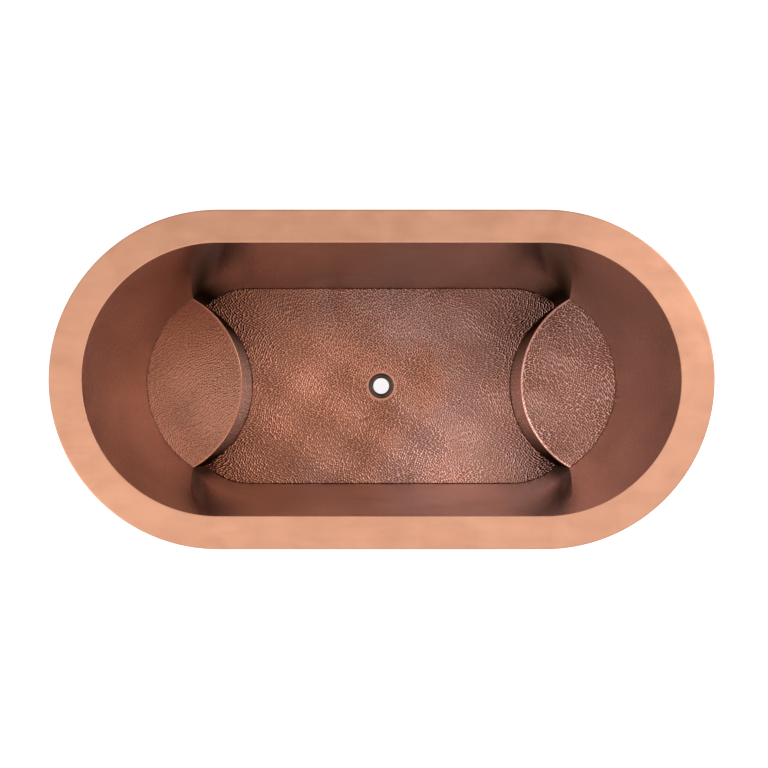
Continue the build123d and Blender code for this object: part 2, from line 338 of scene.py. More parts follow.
def loft_faces(count, around, closed=True):
    """Four-sided faces between rings of points, count rings with around points in each."""
    n, k = np.meshgrid(np.arange(count if closed else count - 1), np.arange(around), indexing="ij")
    after, beside = (n + 1) % count, (k + 1) % around
    corners = [n * around + k, n * around + beside, after * around + beside, after * around + k]
    return np.stack([corner.ravel() for corner in corners], axis=1).tolist()


def coarse_cell(i, j, rows, cols):
    """The rim of one coarse back cell as (row, column) pairs, with every point along the sheet's edge."""
    k = coarse_step
    top = [(i, c) for c in range(j, j + k)] if i == 0 else [(i, j)]
    right = [(r, j + k) for r in range(i, i + k)] if j + k == cols - 1 else [(i, j + k)]
    low = [(i + k, c) for c in range(j + k, j, -1)] if i + k == rows - 1 else [(i + k, j + k)]
    left = [(r, j) for r in range(i + k, i, -1)] if j == 0 else [(i + k, j)]
    return top + right + low + left


def edge_walk(rows, cols):
    """The (row, column) pairs round a grid's edge, in the order that its cells turn."""
    top = [(0, c) for c in range(cols - 1)]
    right = [(r, cols - 1) for r in range(rows - 1)]
    low = [(rows - 1, c) for c in range(cols - 1, 0, -1)]
    left = [(r, 0) for r in range(rows - 1, 0, -1)]
    return top + right + low + left


def add_sheet(name, flat, t, push, finish, slot, replaces=(), **shown):
    """A sheet of metal: a grid of points moved out by push, with a coarse flat back t behind it."""
    rows, cols = flat.shape[:2]
    normal = facing(flat)
    front = flat + normal * push[:, :, None]
    walk = edge_walk(rows, cols)
    inner = [(r, c) for r in range(coarse_step, rows - 1, coarse_step)
             for c in range(coarse_step, cols - 1, coarse_step)]
    kept = walk + inner
    number = {place: rows * cols + n for n, place in enumerate(kept)}
    r, c = np.array(kept).T
    back = flat[r, c] - normal[r, c] * t
    faces = cell_faces(rows, cols).tolist()
    for i in range(0, rows - 1, coarse_step):
        for j in range(0, cols - 1, coarse_step):
            faces.append([number[place] for place in reversed(coarse_cell(i, j, rows, cols))])
    for a, b in zip(walk, walk[1:] + walk[:1]):
        faces.append([b[0] * cols + b[1], a[0] * cols + a[1], number[a], number[b]])
    points = np.concatenate([front.reshape(-1, 3), back])
    return add_piece(name, points, faces, finish, slot, replaces, **shown)


def open_edges(quads, count):
    """The outer edges of a set of faces, chained into loops of point numbers."""
    tail, head = quads.ravel(), np.roll(quads, -1, axis=1).ravel()
    outer = ~np.isin(head * count + tail, tail * count + head)
    after = dict(zip(tail[outer].tolist(), head[outer].tolist()))
    loops = []
    while after:
        start = next(iter(after))
        loop = [start]
        step = after.pop(start)
        while step != start:
            loop.append(step)
            step = after.pop(step)
        loops.append(loop)
    return sorted(loops, key=len, reverse=True)


def nearest(points, curve):
    """For each point (x, y), the nearest point of a finely divided curve."""
    apart = ((points[:, None, :] - curve[None, :, :]) ** 2).sum(axis=2)
    return curve[apart.argmin(axis=1)]


def trim_plate(x, y, keep, curves, exact_rows=0):
    """A grid cut to an outline. Points on a cut edge move onto the nearest curve, bar the first rows.

    Gives the points, the kept faces, the edge loops and the kept points' numbers in the grid."""
    rows, cols = x.shape
    quads = cell_faces(rows, cols)
    quads = quads[keep.ravel()[quads].all(axis=1)]
    loops = open_edges(quads, rows * cols)
    flat = np.stack([x.ravel(), y.ravel()], axis=1)
    outlines = np.concatenate(curves)
    for loop in loops:
        cut = np.array([n for n in loop if n // cols >= exact_rows])
        flat[cut] = nearest(flat[cut], outlines)
    used = np.unique(quads)
    renumber = np.zeros(rows * cols, int)
    renumber[used] = np.arange(len(used))
    return flat[used], renumber[quads], [renumber[np.array(loop)].tolist() for loop in loops], used


def close_plate(top, quads, loops, under_z):
    """A closed plate's points and faces, from its shown face down to a flat underside."""
    points, faces, lower = [top], quads.tolist(), []
    count = len(top)
    for loop in loops:
        below = top[loop].copy()
        below[:, 2] = under_z
        points.append(below)
        lower.append(list(range(count, count + len(loop))))
        count += len(loop)
    for loop, low in zip(loops, lower):
        for n in range(len(loop)):
            m = (n + 1) % len(loop)
            faces.append([loop[m], loop[n], low[n], low[m]])
    points = np.concatenate(points)
    return points, faces + underside(points, lower)


def underside(points, lower):
    """The flat underside's faces: one, or two that meet on the X axis on either side of a hole."""
    if len(lower) == 1:
        return [lower[0][::-1]]
    outer, hole = lower
    outer_ends, hole_ends = axis_ends(points[outer]), axis_ends(points[hole])
    faces = []
    for side in (0, 1):
        run = between_places(outer, outer_ends[side], outer_ends[1 - side])
        back = between_places(hole, hole_ends[1 - side], hole_ends[side])
        faces.append((run + back)[::-1])
    return faces


def axis_ends(loop):
    """The places in a loop of points where it crosses the X axis, furthest right and furthest left."""
    off_axis = 1e3 * np.abs(loop[:, 1])
    return [int((hand * loop[:, 0] - off_axis).argmax()) for hand in (1, -1)]


def between_places(loop, start, end):
    """The part of a closed loop from one place in it to another, both kept."""
    if start <= end:
        return loop[start : end + 1]
    return loop[start:] + loop[: end + 1]


def sweep_frame(path):
    """At each point of an open path, two directions square to it."""
    ahead = np.roll(path, -1, axis=0) - np.roll(path, 1, axis=0)
    ahead[0] = path[1] - path[0]
    ahead[-1] = path[-1] - path[-2]
    ahead = ahead / np.linalg.norm(ahead, axis=1, keepdims=True)
    up = np.tile([0.0, 0.0, 1.0], (len(path), 1))
    steep = np.abs(ahead[:, 2]) > 0.9
    up[steep] = [1.0, 0.0, 0.0]
    side = np.cross(ahead, up)
    side = side / np.linalg.norm(side, axis=1, keepdims=True)
    return side, np.cross(side, ahead)


def add_bead(name, path, radius, finish, slot, seed):
    """A thin run of solder along a joint, a little uneven."""
    around = 8
    side, up = sweep_frame(path)
    turn = np.arange(around) / around * math.tau
    run = np.concatenate([[0], np.cumsum(np.linalg.norm(np.diff(path, axis=0), axis=1))])
    size = radius * (1 + 0.12 * rolling(run, 0 * run, 0.012, seed))
    ring = (side[:, None, :] * np.cos(turn)[None, :, None] + up[:, None, :] * np.sin(turn)[None, :, None])
    points = (path[:, None, :] + ring * size[:, None, None]).reshape(-1, 3)
    faces = loft_faces(len(path), around, closed=False)
    first, last = list(range(around)), list(range(len(points) - around, len(points)))
    return add_piece(name, points, faces + [first[::-1], last], finish, slot)


# ================ materials
class Finish:
    """A node material being built up, with the object's own place as its texture space."""

    def __init__(self, name):
        self.material = bpy.data.materials.new(name)
        self.material.use_nodes = True
        self.tree = self.material.node_tree
        self.shader = self.tree.nodes["Principled BSDF"]
        self.place = self.node("ShaderNodeTexCoord").outputs["Object"]

    def put(self, socket, value):
        """Links a socket to another, or gives it a value."""
        if isinstance(value, bpy.types.NodeSocket):
            self.tree.links.new(value, socket)
        else:
            socket.default_value = value

    def node(self, kind, inputs=None, **settings):
        """A new node with its settings, and what its inputs read."""
        made = self.tree.nodes.new(kind)
        for key, value in settings.items():
            setattr(made, key, value)
        for key, value in (inputs or {}).items():
            self.put(made.inputs[key], value)
        return made

    def noise(self, scale, detail=3.0, stretch=(1, 1, 1), shift=(0, 0, 0), distort=0.0):
        """Clouds from about 0.3 to 0.7, this many to a metre."""
        facts = {"Vector": self.place, "Scale": stretch, "Location": shift}
        place = self.node("ShaderNodeMapping", facts)
        facts = {"Vector": place.outputs[0], "Scale": scale, "Detail": detail, "Distortion": distort}
        return self.node("ShaderNodeTexNoise", facts).outputs["Fac"]

    def read(self, name, output="Fac"):
        """What the mesh keeps under this name."""
        return self.node("ShaderNodeAttribute", attribute_name=name).outputs[output]

    def spread(self, value, low, high, to_low=0.0, to_high=1.0):
        """The part of a value from low to high, stretched to another range and held there."""
        facts = {"Value": value, "From Min": low, "From Max": high, "To Min": to_low, "To Max": to_high}
        return self.node("ShaderNodeMapRange", facts).outputs["Result"]

    def math(self, operation, a, b=0.0):
        """One sum on two values."""
        return self.node("ShaderNodeMath", {0: a, 1: b}, operation=operation).outputs[0]

    def mix(self, share, a, b, how="MIX"):
        """Colour a, with this share of b blended in."""
        made = self.node("ShaderNodeMix", data_type="RGBA", blend_type=how)
        self.put(made.inputs["Factor"], share)
        self.put(made.inputs["A"], a)
        self.put(made.inputs["B"], b)
        return made.outputs["Result"]

    def bump(self, height, distance, strength=1.0):
        """Relief on the surface, over any that it already has."""
        facts = {"Height": height, "Distance": distance, "Strength": strength}
        links = self.shader.inputs["Normal"].links
        if links:
            facts["Normal"] = links[0].from_socket
        made = self.node("ShaderNodeBump", facts)
        self.put(self.shader.inputs["Normal"], made.outputs["Normal"])

    def set(self, **values):
        """Sets the shader's inputs, named with _ for spaces, and gives the finished material."""
        for key, value in values.items():
            self.put(self.shader.inputs[key.replace("_", " ")], value)
        return self.material


def rgb(red, green, blue):
    """An opaque colour."""
    return red, green, blue, 1.0


def copper(name, bright, dull, warm, patch, rough,
           dent_shade=1.0, carve=0.0, cloud=0.1, lean=0.0, painted_sheen=0.0):
    """Beaten copper: drifts of patina, finer mottling, and oxide with painted shade at the bottom of each
    dent.

    Where the painted shade is deep it turns a matt brown like oxide, and a pale painted sheen may lie
    over the rest."""
    f = Finish(name)
    clean, dent = f.read("clean"), dent_height(f)
    # lean paints one end of the tub lighter and pinker than the other: painted light
    along = f.math("MULTIPLY", f.node("ShaderNodeSeparateXYZ", {0: f.place}).outputs["X"], lean)
    drift = f.math("ADD", f.noise(patch, 4.0, distort=0.6), along)
    warmth = f.math("SUBTRACT", f.noise(patch * 0.7, 3.0, shift=(3, 7, 1)), along)
    mottle = f.noise(70.0, 5.0, distort=0.4)
    tint = f.mix(f.spread(drift, 0.38, 0.62), dull, bright)
    tint = f.mix(f.spread(warmth, 0.42, 0.62, 0.0, 0.75), tint, warm)
    tint = f.mix(1.0, tint, f.spread(mottle, 0.3, 0.7, 1 - cloud, 1 + cloud * 0.6), "MULTIPLY")
    # darker at the bottom of each dent: oxide and painted shade
    tint = f.mix(1.0, tint, f.spread(dent, 0.02, 0.46, dent_shade, 1.0), "MULTIPLY")
    # the mesh's painted light and shade scale the colour, and deep painted shade turns brown, rougher and
    # less metallic
    tint = f.mix(1.0, tint, clean, "MULTIPLY")
    tint = f.mix(f.spread(clean, 0.05, 0.75, 1.0, 0.0), tint, rgb(1.0, 0.58, 0.40), "MULTIPLY")
    low, high = rough
    worn = f.math("ADD", f.spread(mottle, 0.3, 0.7, low, high), f.spread(dent, 0.1, 0.9, 0.04, 0.0))
    worn = f.math("ADD", worn, f.spread(clean, 0.1, 0.6, 0.22, 0.0))
    # a painted sheen lowers the metal's top value, so the pale colour shows as a matt haze
    metal = f.spread(clean, 0.05, 0.55, 0.10, 1.0 - painted_sheen)
    f.bump(f.noise(800.0, 3.0), 0.0001, cloud * 3)
    f.bump(dent, carve)
    return f.set(Base_Color=tint, Metallic=metal, Roughness=worn, Specular_IOR_Level=0.0)


def dent_height(f):
    """The mesh's dents drawn sharply: 0 at the bottom of each, and 1 on the ridges and off the dents."""
    cells = f.node("ShaderNodeTexVoronoi", {"Vector": f.read("blows", "Vector")})
    set_cells(cells)
    near = f.math("MULTIPLY", f.math("POWER", cells.outputs["Distance"], 2.0), dent_rise)
    depth = f.math("MULTIPLY", f.math("SUBTRACT", 1.0, f.spread(near, 0.0, 1.0)), f.read("fade"))
    return f.math("SUBTRACT", 1.0, depth)


def satin_copper(name, bright, dull):
    """The rim's planished copper: soft clouds and faint polishing streaks along the tub."""
    f = Finish(name)
    cloud = f.spread(f.noise(7.0, 5.0, distort=0.8), 0.36, 0.64)
    streak = f.noise(26.0, 5.0, stretch=(0.35, 1.0, 1.0), distort=0.5)
    fine = f.noise(420.0, 2.0, stretch=(0.12, 1.0, 1.0))
    tint = f.mix(cloud, dull, bright)
    tint = f.mix(1.0, tint, f.spread(streak, 0.3, 0.7, 0.94, 1.05), "MULTIPLY")
    worn = f.math("ADD", f.spread(streak, 0.3, 0.7, 0.25, 0.34), f.spread(fine, 0.3, 0.7, 0.0, 0.05))
    f.bump(fine, 0.00003, 0.4)
    return f.set(Base_Color=tint, Metallic=1.0, Roughness=worn)


def solder(name, colour, edge):
    """The dark joints between sheets."""
    f = Finish(name)
    blotch = f.spread(f.noise(60.0, 4.0), 0.35, 0.65)
    f.bump(f.noise(500.0, 2.0), 0.0003, 0.5)
    return f.set(Base_Color=f.mix(blotch, colour, edge), Metallic=1.0, Roughness=0.48)


def painted_steel(name):
    """Black paint over welded steel, slightly dusty, with the orange-peel of a spray gun."""
    f = Finish(name)
    dust = f.spread(f.noise(9.0, 5.0), 0.4, 0.75)
    tint = f.mix(dust, rgb(0.012, 0.012, 0.013), rgb(0.035, 0.033, 0.031))
    f.bump(f.noise(900.0, 2.0), 0.00012, 0.5)
    return f.set(Base_Color=tint, Roughness=f.spread(dust, 0.0, 1.0, 0.34, 0.52))


def zinc(name):
    """Zinc-plated steel with its faint crystal spangle."""
    f = Finish(name)
    spangle = f.node("ShaderNodeTexVoronoi", {"Vector": f.place, "Scale": 420.0}).outputs["Color"]
    grey = f.spread(f.node("ShaderNodeSeparateColor", {"Color": spangle}).outputs[0], 0.0, 1.0)
    tint = f.mix(grey, rgb(0.48, 0.49, 0.50), rgb(0.66, 0.66, 0.65))
    f.bump(f.noise(1500.0, 2.0), 0.00005, 0.4)
    return f.set(Base_Color=tint, Metallic=1.0, Roughness=f.spread(grey, 0.0, 1.0, 0.42, 0.30))


def rubber(name):
    """Moulded black rubber with a fine matt grain."""
    f = Finish(name)
    cloud = f.spread(f.noise(60.0, 4.0), 0.3, 0.7)
    f.bump(f.noise(1800.0, 2.0), 0.00015, 0.6)
    return f.set(Base_Color=f.mix(cloud, rgb(0.016, 0.016, 0.017), rgb(0.03, 0.03, 0.03)), Roughness=0.82)


def pale_floor(name):
    """A matt white that glows a little, so that it stays white round the tub."""
    f = Finish(name)
    f.set(Base_Color=rgb(0.80, 0.80, 0.80), Roughness=0.9, Emission_Color=rgb(1.0, 1.0, 1.0))
    return f.set(Emission_Strength=0.80)


# ================ the pieces
def outline(level, grow=0.0):
    """The basin's closed section as a finely divided curve of (x, y), moved out by grow."""
    share = np.linspace(0, 1, 1500, endpoint=False)
    right = np.stack(level.end(share), axis=1)
    rear = np.stack(level.side(share), axis=1)[::-1]
    curve = np.concatenate([right, rear, -right, -rear])
    ahead = np.roll(curve, -1, axis=0) - np.roll(curve, 1, axis=0)
    outward = np.stack([ahead[:, 1], -ahead[:, 0]], axis=1)
    return curve + outward / np.linalg.norm(outward, axis=1, keepdims=True) * grow


def inside_outline(curve, x, y):
    """Which points lie inside a curve that is alike in all four quarters, by more than a hair."""
    quarter = curve[(curve[:, 0] >= 0) & (curve[:, 1] >= 0)]
    quarter = quarter[quarter[:, 0].argsort()]
    limit = np.interp(np.abs(x), quarter[:, 0], quarter[:, 1], right=-1.0)
    return np.abs(y) < limit - edge_hair


def circle(radius, count=900):
    """Points (x, y) round a circle about the drain."""
    turn = np.arange(count) / count * math.tau
    return np.stack([radius * np.cos(turn), radius * np.sin(turn)], axis=1)


def make_floor(finish):
    """The hammered floor, cut to the pan's outline under the walls and round the drain's recess."""
    edge = outline(floor_level, basin_t + pan_flange)
    fine_x, reach_y, drain_dip = 0.574, 0.33, 0.0007
    cells = round(2 * fine_x / floor_grid)
    fine = np.linspace(-fine_x, fine_x, cells + 1)
    under_seat = np.linspace(fine_x, edge[:, 0].max() + 0.004, 10)[1:]
    x = np.concatenate([-under_seat[::-1], fine, under_seat])
    x, y = np.meshgrid(x, np.arange(-reach_y, reach_y + floor_grid / 2, floor_grid))
    keep = inside_outline(edge, x, y) & (np.hypot(x, y) > drain_recess_r + edge_hair)
    flat, quads, loops, _ = trim_plate(x, y, keep, [edge, circle(drain_recess_r)])
    places = hammer_places(flat[:, 0], flat[:, 1], floor_pitch, 11)
    from_drain = np.hypot(flat[:, 0], flat[:, 1])
    fade = ramp(from_drain - drain_recess_r - 0.002, 0, dent_fade)
    z = floor_z - floor_depth * (1 - hammered(places)) * fade
    z[from_drain < drain_recess_r + edge_hair / 2] -= drain_dip
    top = np.column_stack([flat, z])
    points, faces = close_plate(top, quads, loops, pan_z)
    # painted light: darker towards the rear, with two soft painted pools of light
    clean = 1 - 0.75 * flat[:, 1] + 0.28 * spot(flat, x=-0.27, y=0.0, size=0.13)
    clean += 0.55 * spot(flat, x=0.34, y=-0.21, size=0.16)
    shown = {"places": places, "fade": fade, "clean": clean}
    return add_piece("floor_hammered", points, faces, finish, "hammered_copper", ["floor_pan"], **shown)


def spot(flat, x, y, size):
    """A soft round patch of painted light, 1 at its middle."""
    return np.exp(-((flat[:, 0] - x) ** 2 + (flat[:, 1] - y) ** 2) / size**2)


def make_seat(e, place, finish, seed):
    """A seat's hammered top: a rounded front edge, and the rest cut to the wall behind."""
    edge = outline(seat_level, 0.001)
    inward, x, y, reached = seat_grid_points()
    keep = inside_outline(edge, x, y) & reached
    flat, quads, loops, used = trim_plate(x, y, keep, [edge], exact_rows=1)
    depth_in = inward.ravel()[used]
    places = hammer_places(flat[:, 0], flat[:, 1], seat_pitch, seed)
    fade = ramp(depth_in - seat_edge_round, 0, dent_fade)
    drop = seat_edge_round - np.minimum(depth_in, seat_edge_round)
    z = seat_z - seat_edge_round + np.sqrt(seat_edge_round**2 - drop**2)
    # the seats' dent strength, and how bright the painted highlight on each front edge is
    strength, painted_edge_highlight = (1.15, 1.25) if e > 0 else (0.70, 1.90)
    z -= seat_depth * (1 - hammered(places)) * fade * strength
    top = np.column_stack([flat[:, 0] * e, flat[:, 1], z])
    points, faces = close_plate(top, quads, loops, seat_under_z)
    # painted light: the right seat painted brighter than the left, and both darker towards the rear
    middle, slope, rear_slope = (1.36, -0.20, -1.9) if e > 0 else (0.79, -0.55, -1.1)
    clean = middle + slope * flat[:, 1] + rear_slope * np.maximum(flat[:, 1], 0)
    # a painted highlight along the seat's front edge
    clean = np.maximum(clean, painted_edge_highlight * np.exp(-((depth_in / painted_edge_width) ** 2)))
    shown = {"places": places, "fade": fade * strength, "clean": clean}
    name, node = f"seat_hammered_{place}", f"seat_top_{place}"
    return add_piece(name, points, faces, finish, "hammered_copper", [node], **shown)


def seat_grid_points():
    """The right seat's grid: how far in from the front edge each point lies, x, y, and if it is used.

    Rows follow the front edge at first, and further in they all run alike, straight back."""
    radius, sweep, reach_y, turned = riser_r + seat_nosing, 1.06, 0.26, 0.03
    nosing = seat_edge_round * (1 - np.cos(np.linspace(0, math.pi / 2, 9)))
    inward = np.concatenate([nosing, np.arange(seat_edge_round + seat_grid, 0.30, seat_grid)])
    turn = np.linspace(-sweep, sweep, round(2 * sweep * radius / seat_grid))
    inward, turn = np.meshgrid(inward, turn, indexing="ij")
    square = np.minimum(inward, turned)
    x = riser_centre_x - (radius - square) * np.cos(turn) + (inward - square)
    y = (radius - square) * np.sin(turn)
    return inward, x, y, (x > riser_centre_x - radius) & (y**2 < reach_y**2)


def faced(points, outward):
    """The same grid, turned so that its shown face looks away from the tub's middle or towards it."""
    middle = points.shape[0] // 2, points.shape[1] // 2
    away = np.dot(facing(points)[middle][:2], points[middle][:2])
    return points if (away > 0) == outward else points[:, ::-1]


def make_side_wall(s, place, finish, seed):
    """A long side of the basin, from under the rim to the floor."""
    share = np.linspace(0, 1, steps(side_run, wall_grid) + 1)
    z = np.linspace(deck_z, floor_z, steps(deck_z - floor_z, wall_grid) + 1)
    points = faced(basin_wall(Level.side, share, z) * [1, s, 1], outward=False)
    push, shown = beaten(points, wall_pitch, wall_depth, wall_swell, seed)
    # painted shade beside the creases, times the walls' painted light and shade
    clean = (1 - crease_painted_shade(points, s)) * wall_painted_light(points)
    name, node = f"side_sheet_{place}", f"basin_side_{place}"
    return add_sheet(name, points, basin_t, push, finish, "wall_copper", [node], clean=clean, **shown)


def beaten(points, pitch, depth, swell, seed):
    """How far a sheet's points move under the hammer, and the places and fade its material reads."""
    along, down = travelled(points)
    places = hammer_places(along, down, pitch, seed)
    fade = border_fade(along, down, width=0.005)
    swell_height, swell_size = swell
    push = swell_height * rolling(along, down, swell_size, seed) - depth * (1 - hammered(places))
    return push * fade, {"places": places, "fade": fade}


def crease_painted_shade(points, s):
    """How dark the painted shade in the hollow beside each crease is. It drifts off towards the rim,
    deeper at the rear.
    """
    x, z = np.abs(points[:, :, 0]), points[:, :, 2]
    up = np.clip((z - seat_z) / (deck_z - seat_z), -0.4, 1)
    rear, front = (0.016, 0.088, 0.064, 0.97, 0.36), (0.008, 0.078, 0.036, 0.78, 0.60)
    shift, reach, width, most, drop = rear if s > 0 else front
    off = (x - seat_ridge[0] + shift + reach * np.maximum(up, 0)) / (width * (1 + 0.3 * up))
    return most * (1 - drop * np.maximum(up, 0)) * np.exp(-(off**2))


def wall_painted_light(points):
    """Painted light and shade all round the basin: darker along the rear's middle, with a painted
    highlight at the front right.
    """
    x, y = points[:, :, 0], points[:, :, 1]
    side, middle = ramp(np.abs(x), 0.62, 0.47), ramp(np.abs(x), 0.42, 0.14)
    right_end = ramp(x, 0.52, 0.64) * ramp(y, 0, 0.16)
    rear = 1 + 0.15 * side - 0.15 * right_end - middle * (0.20 + 0.20 * np.exp(-((x / 0.30) ** 2)))
    front = 1 + 0.50 * np.exp(-(((x - 0.46) / 0.25) ** 2)) * ramp(-y, 0, 0.25)
    return np.where(y > 0, rear, front)


def make_backrest(e, place, finish, seed):
    """A sloping end of the basin, on a coarser grid where the seat hides it."""
    share = np.linspace(0, 1, steps(end_run, wall_grid) + 1)
    hidden_z = seat_under_z - 0.004
    z = np.concatenate([
        np.linspace(deck_z, hidden_z, steps(deck_z - seat_under_z, wall_grid) + 1),
        np.linspace(hidden_z, floor_z, 2 * coarse_step + 1)[1:],
    ])
    points = faced(basin_wall(Level.end, share, z) * [e, 1, 1], outward=False)
    push, shown = beaten(points, wall_pitch, wall_depth, wall_swell, seed)
    rear = points[:, :, 1] > 0
    # painted shade beside the creases, only from a little above the seat, times the walls' painted light
    # and shade
    dark = np.where(rear, crease_painted_shade(points, 1), crease_painted_shade(points, -1))
    up = np.clip((points[:, :, 2] - seat_z) / (deck_z - seat_z), 0, 1)
    clean = (1 - dark * ramp(up, 0.08, 0.50)) * wall_painted_light(points)
    name, node = f"backrest_sheet_{place}", f"backrest_{place}"
    return add_sheet(name, points, basin_t, push, finish, "wall_copper", [node], clean=clean, **shown)


def make_riser(e, place, finish, seed):
    """The smooth upright front of a seat, with painted shade darkening it towards its ends."""
    reach = math.asin(floor_ridge[1] / riser_r)
    turn = np.linspace(-reach, reach, steps(2 * reach * riser_r, riser_grid) + 1)
    z = np.linspace(seat_under_z, floor_z, steps(seat_under_z - floor_z, riser_grid) + 1)
    x, y = e * (riser_centre_x - riser_r * np.cos(turn)), riser_r * np.sin(turn)
    flat = faced(upright(x, y, z), outward=False)
    along, down = travelled(flat)
    swell_height, swell_size = riser_swell
    push = swell_height * rolling(along, down, swell_size, seed) * border_fade(along, down, width=0.01)
    # painted shade darkening the riser towards its ends, more at the rear
    across = flat[:, :, 1] / floor_ridge[1]
    spread, power = np.where(across > 0, 1.45, 1.15), np.where(across > 0, 1.0, 1.8)
    clean = 1 - 0.97 * np.clip(np.abs(across) * spread, 0, 1) ** power
    # the right riser painted darker all over
    if e > 0:
        clean *= 0.75
    name, node = f"riser_sheet_{place}", f"seat_riser_{place}"
    return add_sheet(name, flat, riser_t, push, finish, "wall_copper", [node], clean=clean)


def stadium_stations(spacing):
    """Points round the tub's plan: the spine point each belongs to, and the way outward from it."""
    line = round(2 * end_centre_x / spacing)
    arc = round(math.pi * half_width / spacing)
    run = np.arange(line) / line * 2 - 1
    turn = np.arange(arc) / arc * math.pi
    spine = np.concatenate([-run * end_centre_x, np.full(arc, -end_centre_x),
                            run * end_centre_x, np.full(arc, end_centre_x)])
    angle = np.concatenate([np.full(line, math.pi / 2), math.pi / 2 + turn,
                            np.full(line, -math.pi / 2), turn - math.pi / 2])
    return spine, np.cos(angle), np.sin(angle)


def rounded(inset, z, radius, start, end, count=7):
    """Profile points (inset, z) round a quarter circle from one angle to another, in degrees."""
    turn = np.radians(np.linspace(start, end, count))
    return [(inset - radius * math.cos(t), z + radius * math.sin(t)) for t in turn]


def rim_profile():
    """The rim's closed section as (inset from the tub's side, height): lip, deck and inner edge."""
    deck = np.linspace(rim_outer_round, rim_width - rim_inner_round, 25)[1:-1]
    profile = [(0.0, z) for z in np.linspace(lip_z, top_z - rim_outer_round, 7)[:-1]]
    profile += rounded(rim_outer_round, top_z - rim_outer_round, rim_outer_round, 0, 90)
    profile += [(inset, top_z) for inset in deck]
    profile += rounded(rim_width - rim_inner_round, top_z - rim_inner_round, rim_inner_round, 90, 180, 5)
    profile += [(rim_width, deck_z), (rim_width * 0.5, deck_z), (rim_t, deck_z), (rim_t, lip_z)]
    return np.array(profile)


def make_rim(finish):
    """The planished rim, one band all round, with soft swells on its deck and its outer lip."""
    inset, height = rim_profile().T
    spine, out_x, out_y = stadium_stations(rim_spacing)
    reach = half_width - inset
    x = spine[:, None] + out_x[:, None] * reach
    y = out_y[:, None] * reach
    z = np.broadcast_to(height, x.shape)
    on_deck = (np.abs(height - top_z) < 1e-6) & (inset > 0.004) & (inset < rim_width - 0.003)
    deck_fade = ramp(np.minimum(inset, rim_width - inset), 0, 0.02) * on_deck
    lip_fade = (inset < 1e-6) * 0.5
    lift = -rim_top_swell[0] * (1 - rolling(x, y, rim_top_swell[1], 31)) * deck_fade
    push = -rim_lip_swell[0] * (1 - rolling(x + y, z + x, rim_lip_swell[1], 32)) * lip_fade
    x, y = x + out_x[:, None] * push, y + out_y[:, None] * push
    points = np.stack([x, y, z + lift], axis=2).reshape(-1, 3)
    return add_piece("rim_sheet", points, loft_faces(*x.shape), finish, "rim_copper", replaces=["rim"])


def skirt_inset(z):
    """How far the leaning skirt stands in from the rim's outside at this height."""
    return skirt_hem_inset + (skirt_top_inset - skirt_hem_inset) * (z - hem_z) / (deck_z - hem_z)


def make_skirt(place, spine_and_angle, length, finish, seed):
    """A panel of the outer skirt, hammered all over its outside."""
    spine, angle = spine_and_angle(np.linspace(-1, 1, steps(length, skirt_grid) + 1))
    z = np.linspace(deck_z, hem_z, steps(deck_z - hem_z, skirt_grid) + 1)
    reach = (half_width - skirt_inset(z))[:, None]
    flat = faced(upright(spine + reach * np.cos(angle), reach * np.sin(angle), z), outward=True)
    push, shown = beaten(flat, skirt_pitch, skirt_depth, skirt_swell, seed)
    name, node = f"skirt_sheet_{place}", f"skirt_{place}"
    return add_sheet(name, flat, skirt_t, push, finish, "skirt_copper", [node], **shown)


def skirt_side(s):
    """A long side's spine and outward angle at each share from -1 to 1 along it."""
    return lambda share: (share * end_centre_x, np.full(share.shape, s * math.pi / 2))


def skirt_end(e):
    """A round end's spine and outward angle at each share from -1 to 1 round it."""
    middle = 0 if e > 0 else math.pi
    return lambda share: (np.full(share.shape, e * end_centre_x), middle + share * math.pi / 2)


def make_drain_dish(finish):
    """The drain's seat: a shallow pressed ring round the open hole."""
    low, (seat_r, _, high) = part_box("drain_seat")[0].z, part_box("drain_seat")[1]
    profile = [(seat_r, low), (seat_r, high), (drain_recess_r + 0.001, high), (0.0395, high)]
    profile += [(0.0380, high + 0.0007), (0.0355, high + 0.0012), (0.0325, high + 0.0013)]
    profile += [(0.0300, high + 0.0009), (0.0280, high + 0.0001), (0.0266, high - 0.0004)]
    profile += [(drain_hole_r + 0.0004, high - 0.0009), (drain_hole_r, high - 0.0016)]
    profile += [(drain_hole_r, low)]
    radius, z = np.array(profile).T
    ring = circle(1.0, count=120)[:, None, :] * radius[:, None]
    points = np.dstack([ring, np.broadcast_to(z, ring.shape[:2])]).reshape(-1, 3)
    faces = loft_faces(*ring.shape[:2])
    return add_piece("drain_dish", points, faces, finish, "drain_copper", replaces=["drain_seat"])


def lifted(x, y, z):
    """A path (x, y) at one height."""
    return np.stack([x, y, np.broadcast_to(z, x.shape)], axis=1)


def make_beads(finish, seat_finish):
    """The dark runs of solder in the basin's corners."""
    share = np.linspace(0, 1, 420)
    for s, place in ((1, "rear"), (-1, "front")):
        x, y = floor_level.side(share)
        path = lifted(x, s * (y - 0.0006), floor_z + 0.0002)
        add_bead(f"floor_joint_{place}", path, floor_bead_r, finish, "wall_copper", seed=41 + s)
    for e, place in ((1, "right"), (-1, "left")):
        reach = math.asin(floor_ridge[1] / riser_r)
        turn = np.linspace(-reach, reach, 200)
        x = e * (riser_centre_x - (riser_r + 0.0006) * np.cos(turn))
        path = lifted(x, (riser_r + 0.0006) * np.sin(turn), floor_z + 0.0002)
        add_bead(f"riser_foot_joint_{place}", path, floor_bead_r, finish, "wall_copper", seed=45 + e)
        x, y = seat_level.end(np.linspace(0, 1, 240))
        path = lifted(e * (x - 0.0003), y, seat_z + 0.0001)
        add_bead(f"seat_back_joint_{place}", path, seat_bead_r, seat_finish, "wall_copper", seed=48 + e)


